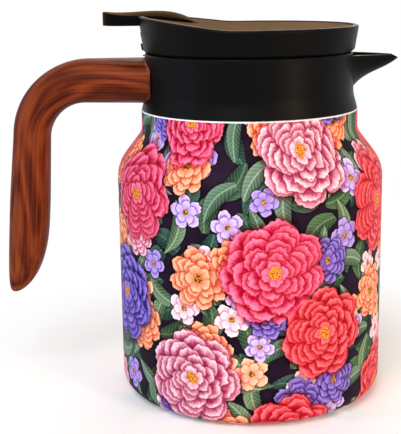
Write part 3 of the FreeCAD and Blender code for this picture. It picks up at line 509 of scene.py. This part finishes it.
def transfer_print():
    """Dark ground, leaves and flowers in layers, and bare white above the print's top edge."""
    material, tree, shader = new_material("transfer_print_on_steel")
    place = node(tree, "ShaderNodeTexCoord", output="Object")
    parts = node(tree, "ShaderNodeSeparateXYZ", [place]).node.outputs
    facing = node(tree, "ShaderNodeMath", [parts["Y"], parts["X"]], operation="ARCTAN2")
    across = node(tree, "ShaderNodeMath", [facing, body_radius, PRINT_SHIFT], operation="MULTIPLY_ADD")
    sheet = node(tree, "ShaderNodeCombineXYZ", [across, parts["Z"]])
    cloud = node(tree, "ShaderNodeTexNoise", {"Vector": place, "Scale": 1 / GROUND_CLOUD, "Detail": 2.0})
    shade = node(tree, "ShaderNodeMapRange", [cloud, *GROUND_CLOUD_RANGE, 0.0, 1.0])
    colour = node(tree, "ShaderNodeMix",
                  {SHARE: shade, BELOW: linear(GROUND_DARK), ABOVE: linear(GROUND_LIGHT)}, **COLOUR_MIX)
    for plan in (BROAD_LEAVES, SAGE_LEAVES):
        colour = leaves(tree, sheet, colour, plan)
    for plan in (SMALL_BLOSSOMS, OPEN_FLOWERS, ROSETTES):
        colour = blooms(tree, sheet, colour, plan)
    bare = node(tree, "ShaderNodeMath", [parts["Z"], print_top], operation="GREATER_THAN")
    colour = node(tree, "ShaderNodeMix", {SHARE: bare, BELOW: colour, ABOVE: linear(SPRAYED_WHITE)},
                  **COLOUR_MIX)
    feed(tree, shader, {"Base Color": colour, "Roughness": 0.45, "Specular IOR Level": 0.04})
    return material


flower_print = transfer_print()
dress(["outer_shell"], flower_print)
print("nodes in the print:", len(flower_print.node_tree.nodes))

# %% [markdown]
# ## The wood-look handle
# The handle is a moulding with a printed and lacquered wood grain that follows its bend. It could
# be a bevelled curve, but a curve keeps one shape of section all the way. As a surface it is a
# rounded section carried along a path: straight out from the collar, round a bend, and down to a
# tapered tip. Each point also keeps its place in the handle straightened out, as an attribute,
# so that the grain can run along the bend the way steamed wood does.

# %% Sizes of the handle
ARM_Z = 141.9 * MM
ROOT_X = -42.8 * MM
BEND_X = -72.8 * MM
BEND_RADIUS = 26.5 * MM
BEND_ANGLE = math.radians(85.5)
GRIP_LENGTH = 75.5 * MM
TAPER_LENGTH = 38.0 * MM
TAPER_POWER = 2.5
TIP_WIDTH_POWER = 0.8
ARM_HALF_HEIGHT = 9.9 * MM
BEND_HALF_THICKNESS = 8.3 * MM
SWELL_LENGTH = 30.0 * MM
GRIP_HALF_THICKNESS = 9.1 * MM
ROOT_HALF_WIDTH = 20.5 * MM
ROOT_SQUARENESS = 2.5
GRIP_SQUARENESS = 2.3
BEND_HALF_WIDTH = 11.8 * MM
GRIP_HALF_WIDTH = 11.0 * MM
TIP_HALF_THICKNESS = 0.4 * MM
TIP_HALF_WIDTH = 1.5 * TIP_HALF_THICKNESS
NOSE_RADIUS = 4.2 * MM
ROW_CROWDING = 1.35
arm_length = ROOT_X - BEND_X
bend_length = BEND_RADIUS * BEND_ANGLE
handle_length = arm_length + bend_length + GRIP_LENGTH
print("handle along its middle, mm:", round(handle_length / MM, 1))

# %% [markdown]
# Blender wants a mesh as a list of points and a list of faces. On a grid both come from whole
# arrays: the points are the grid itself, and each face joins four neighbouring places in it.


# %% Mesh from a grid
def grid_mesh(name, points, attributes=()):
    """Mesh of a tube: rows along the length, columns round it, the last column joined to the first.

    Both ends are closed by one many-sided face. Extra arrays of the same layout become vector
    attributes.
    """
    rows, columns = points.shape[:2]
    index = np.arange(rows * columns).reshape(rows, columns)
    here, right = index, np.roll(index, -1, axis=1)
    quads = np.stack([here[:-1], right[:-1], right[1:], here[1:]], axis=-1).reshape(-1, 4)
    caps = [index[0][::-1].tolist(), index[-1].tolist()]
    mesh = bpy.data.meshes.new(name)
    mesh.from_pydata(points.reshape(-1, 3).tolist(), [], quads.tolist() + caps)
    for key, values in attributes:
        layer = mesh.attributes.new(key, "FLOAT_VECTOR", "POINT")
        layer.data.foreach_set("vector", values.reshape(-1).astype(np.float32))
    mesh.polygons.foreach_set("use_smooth", np.ones(len(mesh.polygons), dtype=bool))
    mesh.update()
    piece = bpy.data.objects.new(name, mesh)
    bpy.context.scene.collection.objects.link(piece)
    return piece


print("helper:", grid_mesh.__doc__.splitlines()[0])

# %% [markdown]
# The path and the section are worked out apart. Along the path the section changes from a rounded
# rectangle at the collar to an oval in the grip, and at the end it closes to a blunt nose.


# %% Surface of the handle
def handle_path(s):
    """Path of a line, an arc and a line, measured by its length s.

    Gives the middle, the direction across the path away from the bend's centre, and the length
    that has been run after the bend.
    """
    angle = np.clip((s - arm_length) / BEND_RADIUS, 0.0, BEND_ANGLE)
    nothing = np.zeros_like(s)
    across = np.stack([-np.sin(angle), nothing, np.cos(angle)], axis=1)
    along = np.stack([-np.cos(angle), nothing, -np.sin(angle)], axis=1)
    on_arm = np.stack([ROOT_X - np.minimum(s, arm_length), nothing, nothing + ARM_Z], axis=1)
    on_arc = np.array([BEND_X, 0.0, ARM_Z - BEND_RADIUS]) + BEND_RADIUS * across
    after = np.maximum(s - arm_length - bend_length, 0.0)
    middle = np.where((s > arm_length)[:, None], on_arc, on_arm) + after[:, None] * along
    return middle, across, after


def handle_surface(rows=180, columns=64):
    """Rounded sections on the handle's path.

    The half thickness falls from the arm's over the bend and swells a little into the grip, and
    the tip rounds off as sqrt(1 - t^2.5), where t runs from 0 to 1 over the taper. The outer side
    stays nearly straight down to a round nose.
    A section at the polar angle phi reaches (|cos phi / thick|^n + |sin phi / wide|^n)^(-1/n):
    n = 2 is an oval, and the larger n at the collar makes it a rounded rectangle.
    The grain's own place is (s, up, side) with the arm's widths drawn in to the grip's, so that
    its streaks run along the widening arm and are not cut across by it.
    """
    even = np.linspace(0.0, 1.0, rows)
    s = handle_length * (1 - (1 - even) ** ROW_CROWDING)
    middle, across, after = handle_path(s)
    arm_share = np.clip(s / arm_length, 0.0, 1.0)
    bend_share = np.clip((s - arm_length) / bend_length, 0.0, 1.0)
    swell = np.clip(after / SWELL_LENGTH, 0.0, 1.0)
    thick = ARM_HALF_HEIGHT + bend_share * (BEND_HALF_THICKNESS - ARM_HALF_HEIGHT)
    thick = thick + swell * (GRIP_HALF_THICKNESS - BEND_HALF_THICKNESS)
    wide = ROOT_HALF_WIDTH + arm_share * (BEND_HALF_WIDTH - ROOT_HALF_WIDTH)
    wide = wide + bend_share * (GRIP_HALF_WIDTH - BEND_HALF_WIDTH)
    grain_up = (GRIP_HALF_THICKNESS / thick)[:, None]
    grain_side = (GRIP_HALF_WIDTH / wide)[:, None]
    taper = np.clip((after - GRIP_LENGTH + TAPER_LENGTH) / TAPER_LENGTH, 0.0, 1.0)
    round_off = np.sqrt(np.maximum(1 - taper ** TAPER_POWER, 0.0))
    tip = np.maximum(GRIP_HALF_THICKNESS * round_off, TIP_HALF_THICKNESS)
    tip_wide = np.maximum(GRIP_HALF_WIDTH * round_off ** TIP_WIDTH_POWER, TIP_HALF_WIDTH)
    lean = np.hypot(GRIP_HALF_THICKNESS, NOSE_RADIUS) - np.hypot(tip, NOSE_RADIUS)
    thick = np.where(taper > 0, tip, thick)
    wide = np.where(taper > 0, tip_wide, wide)
    middle = middle + lean[:, None] * across
    square = (ROOT_SQUARENESS + arm_share * (GRIP_SQUARENESS - ROOT_SQUARENESS))[:, None]
    phi = np.linspace(0.0, TURN, columns, endpoint=False)[None, :]
    flat = np.abs(np.cos(phi) / thick[:, None]) ** square + np.abs(np.sin(phi) / wide[:, None]) ** square
    reach = flat ** (-1 / square)
    up = np.cos(phi) * reach
    side = np.sin(phi) * reach
    points = middle[:, None, :] + up[:, :, None] * across[:, None, :]
    points[:, :, 1] += side
    length = np.broadcast_to(s[:, None], up.shape)
    straight = np.stack([length, (up + lean[:, None]) * grain_up, side * grain_side], axis=-1)
    return points, straight


handle_points, handle_straight = handle_surface()
handle = grid_mesh("handle_wood", handle_points, [("straight", handle_straight)])
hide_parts("handle_grip")
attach(handle, "jug")
handle_reach = handle_points.reshape(-1, 3).min(axis=0) / MM
print("handle faces:", len(handle.data.polygons), "reach, mm:", handle_reach.round(1))

# %% [markdown]
# The grain lies in the straightened handle. A slow noise, stretched along the handle, stands for
# the growth rings that the surface cuts through: the tone goes up and down as that noise rises,
# which gives long streaks that close into arches. Finer streaks and short pores are added, and
# one palette runs from dark heart to light sap. Where the handle meets the collar a painted
# highlight, a thin light ring in the colour, stands for light caught on a narrow bevel at its edge. A clear
# satin lacquer lies on top.

# %% Lacquered wood grain
# Width and length in millimetres, and the noise's detail, of growth rings, streaks and pores.
GRAIN_SIZES = ((11, 62, 1.0), (0.9, 60, 3.0), (0.45, 8, 1.0))
RINGS_PER_NOISE = 5.0
RING_TONES = (0.3, 0.7)
STREAK_TONE = 0.2
PORE_RANGE, PORE_TONE = (0.56, 0.72), 0.12
WOOD_STOPS = ((0.08, "#30100a"), (0.38, "#5b2311"), (0.65, "#733218"), (0.95, "#864420"))
# Painted highlight: a light ring drawn into the wood's colour just outside the collar, where a bevel's edge
# would catch the light.
HIGHLIGHT_RING_REACH = 47.3 * MM
HIGHLIGHT_RING_WIDTH = 0.3 * MM
PAINTED_HIGHLIGHT, HIGHLIGHT_SHARE = "#c08a63", 0.2
GRAIN_DEPTH = 0.05 * MM
DARK_ROUGHNESS, LIGHT_ROUGHNESS = 0.48, 0.4


def wood_grain():
    """tone = 0.5 + 0.2 sin(rings * noise) + streaks - pores, then a palette of the tone."""
    material, tree, shader = new_material("lacquered_wood_grain")
    place = node(tree, "ShaderNodeAttribute", attribute_name="straight", output="Vector")
    noises = []
    for width, length, detail in GRAIN_SIZES:
        sizes = (1 / (length * MM), 1 / (width * MM), 1 / (width * MM))
        grain = node(tree, "ShaderNodeMapping", {"Vector": place, "Scale": sizes})
        noises.append(node(tree, "ShaderNodeTexNoise", {"Vector": grain, "Scale": 1.0, "Detail": detail}))
    growth, fine, short = noises
    rings = node(tree, "ShaderNodeMath", [growth, RINGS_PER_NOISE * TURN], operation="MULTIPLY")
    wave = node(tree, "ShaderNodeMath", [rings], operation="SINE")
    tone = node(tree, "ShaderNodeMapRange", [wave, -1.0, 1.0, *RING_TONES])
    streak = node(tree, "ShaderNodeMapRange", [fine, *NOISE_RANGE, -STREAK_TONE, STREAK_TONE])
    tone = node(tree, "ShaderNodeMath", [tone, streak], operation="ADD")
    pores = node(tree, "ShaderNodeMapRange", [short, *PORE_RANGE, 0.0, -PORE_TONE])
    tone = node(tree, "ShaderNodeMath", [tone, pores], operation="ADD", use_clamp=True)
    wood = node(tree, "ShaderNodeValToRGB", [tone])
    band = wood.node.color_ramp
    while len(band.elements) < len(WOOD_STOPS):
        band.elements.new(1.0)
    for element, (spot, colour) in zip(band.elements, WOOD_STOPS):
        element.position = spot
        element.color = linear(colour)
    point = node(tree, "ShaderNodeTexCoord", output="Object")
    flat = node(tree, "ShaderNodeVectorMath", [point, (1.0, 1.0, 0.0)], operation="MULTIPLY")
    reach = node(tree, "ShaderNodeVectorMath", [flat], output="Value", operation="LENGTH")
    # Painted highlight: the light ring is mixed into the base colour by distance from the axis; the surface
    # has no bevel.
    highlight_ring = node(tree, "ShaderNodeMapRange",
                 [reach, HIGHLIGHT_RING_REACH, HIGHLIGHT_RING_REACH + HIGHLIGHT_RING_WIDTH, HIGHLIGHT_SHARE, 0.0])
    feed(tree, shader, {
        "Base Color": node(tree, "ShaderNodeMix",
                           {SHARE: highlight_ring, BELOW: wood, ABOVE: linear(PAINTED_HIGHLIGHT)}, **COLOUR_MIX),
        "Roughness": node(tree, "ShaderNodeMapRange", [tone, 0.2, 0.8, DARK_ROUGHNESS, LIGHT_ROUGHNESS]),
        "Normal": node(tree, "ShaderNodeBump", {"Strength": 0.12, "Distance": GRAIN_DEPTH, "Height": tone}),
        "Specular IOR Level": 0.04,
        "Coat Weight": 0.015,
        "Coat Roughness": 0.2,
    })
    return material


handle.data.materials.append(wood_grain())
print("handle finish:", handle.data.materials[0].name)

# %% [markdown]
# ## The spring on the valve
# Inside the lid a small coil spring holds the valve shut, and the lever lifts the valve against
# it. A rigid coil would run into the rising valve. Here the spring is made again as a tube along a
# helix, as tall as the solid spring, and it stays at that length.

# %% Coil spring
WIRE_RADIUS = 0.6 * MM
COIL_TURNS = 5


def coil(low, high, radius, rows=241, columns=12):
    """Tube along a helix: the angle and the height rise evenly, and the section is a circle."""
    angle = np.linspace(0.0, COIL_TURNS * TURN, rows)[:, None]
    around = np.linspace(0.0, TURN, columns, endpoint=False)[None, :]
    middle = np.linspace(low + WIRE_RADIUS, high - WIRE_RADIUS, rows)[:, None]
    out = radius + WIRE_RADIUS * np.cos(around)
    height = middle - WIRE_RADIUS * np.sin(around)
    return np.stack([out * np.cos(angle), out * np.sin(angle), height], axis=-1)


coil_low, coil_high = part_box("valve_spring")
coil_radius = (coil_high[0] - coil_low[0]) / 2 - WIRE_RADIUS
spring = grid_mesh("valve_coil", coil(coil_low[2], coil_high[2], coil_radius))
spring.data.materials.append(bright_steel)
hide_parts("valve_spring")
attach(spring, "lid")
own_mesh(spring)

# %% [markdown]
# ## Floor, light and camera
# The picture has a plain white ground, so the floor and the world are white to the camera and to
# reflections, while the light itself stays at a plain level. Close to the jug the floor is mostly
# plain paper, so that it keeps the jug's shadow, and further away it turns to even white.

# %% White floor and world
WORLD_LIGHT = 0.4
FLOOR_HALF = 3.0
SHADOW_NEAR, SHADOW_FAR = 70 * MM, 190 * MM
NEAR_WHITENESS = 0.15


def seen_by_eye(tree):
    """1 for a camera, glossy or transmission ray, 0 for the rays that carry light."""
    path = node(tree, "ShaderNodeLightPath").node.outputs
    seen = node(tree, "ShaderNodeMath", [path["Is Camera Ray"], path["Is Glossy Ray"]], operation="MAXIMUM")
    return node(tree, "ShaderNodeMath", [seen, path["Is Transmission Ray"]], operation="MAXIMUM")


scene = bpy.context.scene
world = bpy.data.worlds.new("studio_world")
scene.world = world
world.use_nodes = True
sky = world.node_tree
sky.nodes.clear()
ambient = node(sky, "ShaderNodeBackground", [linear("#ffffff"), WORLD_LIGHT])
bright = node(sky, "ShaderNodeBackground", [linear("#ffffff"), 1.0])
both = node(sky, "ShaderNodeMixShader", [seen_by_eye(sky), ambient, bright])
node(sky, "ShaderNodeOutputWorld", {"Surface": both})

floor_mesh = bpy.data.meshes.new("floor")
corners = [(-FLOOR_HALF, -FLOOR_HALF, 0), (FLOOR_HALF, -FLOOR_HALF, 0),
           (FLOOR_HALF, FLOOR_HALF, 0), (-FLOOR_HALF, FLOOR_HALF, 0)]
floor_mesh.from_pydata(corners, [], [(0, 1, 2, 3)])
floor = bpy.data.objects.new("floor", floor_mesh)
scene.collection.objects.link(floor)
paper = bpy.data.materials.new("white_paper_floor")
paper.use_nodes = True
page = paper.node_tree
page.nodes.clear()
matt = node(page, "ShaderNodeBsdfDiffuse", [linear("#f7f7f7")])
white = node(page, "ShaderNodeEmission", [linear("#ffffff"), 1.0])
spot = node(page, "ShaderNodeTexCoord", output="Object")
far = node(page, "ShaderNodeVectorMath", [spot], output="Value", operation="LENGTH")
away = node(page, "ShaderNodeMapRange", [far, SHADOW_NEAR, SHADOW_FAR, NEAR_WHITENESS, 1.0],
            interpolation_type="SMOOTHSTEP")
shown = node(page, "ShaderNodeMath", [away, seen_by_eye(page)], operation="MULTIPLY")
ground = node(page, "ShaderNodeMixShader", [shown, matt, white])
node(page, "ShaderNodeOutputMaterial", {"Surface": ground})
floor_mesh.materials.append(paper)
print("floor, m:", 2 * FLOOR_HALF, "world light:", WORLD_LIGHT)

# %% [markdown]
# The light is that of a small studio: a broad soft lamp above the camera, a tall strip on each
# side that draws a cool and a warm sheen on the black collar, and a lamp behind that skims the
# lid. Area lamps are chosen because their soft edges show in the satin plastic.


# %% Lamps
def lamp(name, place, aim, size, watts, colour):
    """A soft lamp, size = (width, height), at a place and pointed at an aim, in millimetres."""
    light_data = bpy.data.lights.new(name, "AREA")
    light_data.shape = "RECTANGLE"
    light_data.size = size[0] * MM
    light_data.size_y = size[1] * MM
    light_data.energy = watts
    light_data.color = linear(colour)[:3]
    light = bpy.data.objects.new(name, light_data)
    light.location = Vector(place) * MM
    light.rotation_euler = (Vector(aim) * MM - light.location).to_track_quat("-Z", "Y").to_euler()
    scene.collection.objects.link(light)
    print("lamp", name, watts, "W")


lamp("key", (-300, -850, 950), (0, 0, 90), (700, 700), 10.5, "#ffffff")
lamp("left_strip", (-1000, -350, 350), (0, 0, 90), (250, 800), 3.2, "#bcd4ff")
lamp("right_strip", (850, -760, 350), (0, 0, 90), (250, 800), 9, "#ffdcb8")
lamp("skim", (150, 900, 700), (0, 0, 160), (700, 700), 5, "#ffe9d0")

# %% [markdown]
# The camera stands about 450 mm in front of the jug's axis and a little above the lid, as worked
# out from the ellipses of the foot, the collar and the lid in the picture. The lens is shifted a
# little, because the picture was cropped off the middle of its lens.

# %% Camera
IMAGE_HEIGHT = 434
FOCAL_PX = 999.9
CAMERA_PLACE = (-2.2, -450.2, 186.7)
CAMERA_YAW = -0.0450
CAMERA_PITCH = 0.2094
CAMERA_ROLL = -0.01485
LENS_MIDDLE_Y = 190.0
SENSOR_HEIGHT = 24.0
camera_data = bpy.data.cameras.new("camera")
camera_data.sensor_fit = "VERTICAL"
camera_data.sensor_height = SENSOR_HEIGHT
camera_data.lens = FOCAL_PX * SENSOR_HEIGHT / IMAGE_HEIGHT
camera_data.shift_y = (LENS_MIDDLE_Y - IMAGE_HEIGHT / 2) / IMAGE_HEIGHT
camera_data.clip_start = 10 * MM
camera = bpy.data.objects.new("camera", camera_data)
yaw = Matrix.Rotation(-CAMERA_YAW, 4, "Z")
pitch = Matrix.Rotation(math.pi / 2 - CAMERA_PITCH, 4, "X")
roll = Matrix.Rotation(CAMERA_ROLL, 4, "Z")
camera.matrix_world = Matrix.Translation(Vector(CAMERA_PLACE) * MM) @ yaw @ pitch @ roll
scene.collection.objects.link(camera)
scene.camera = camera
scene.view_settings.view_transform = "Standard"
print("lens, mm:", round(camera_data.lens, 1))

# %% [markdown]
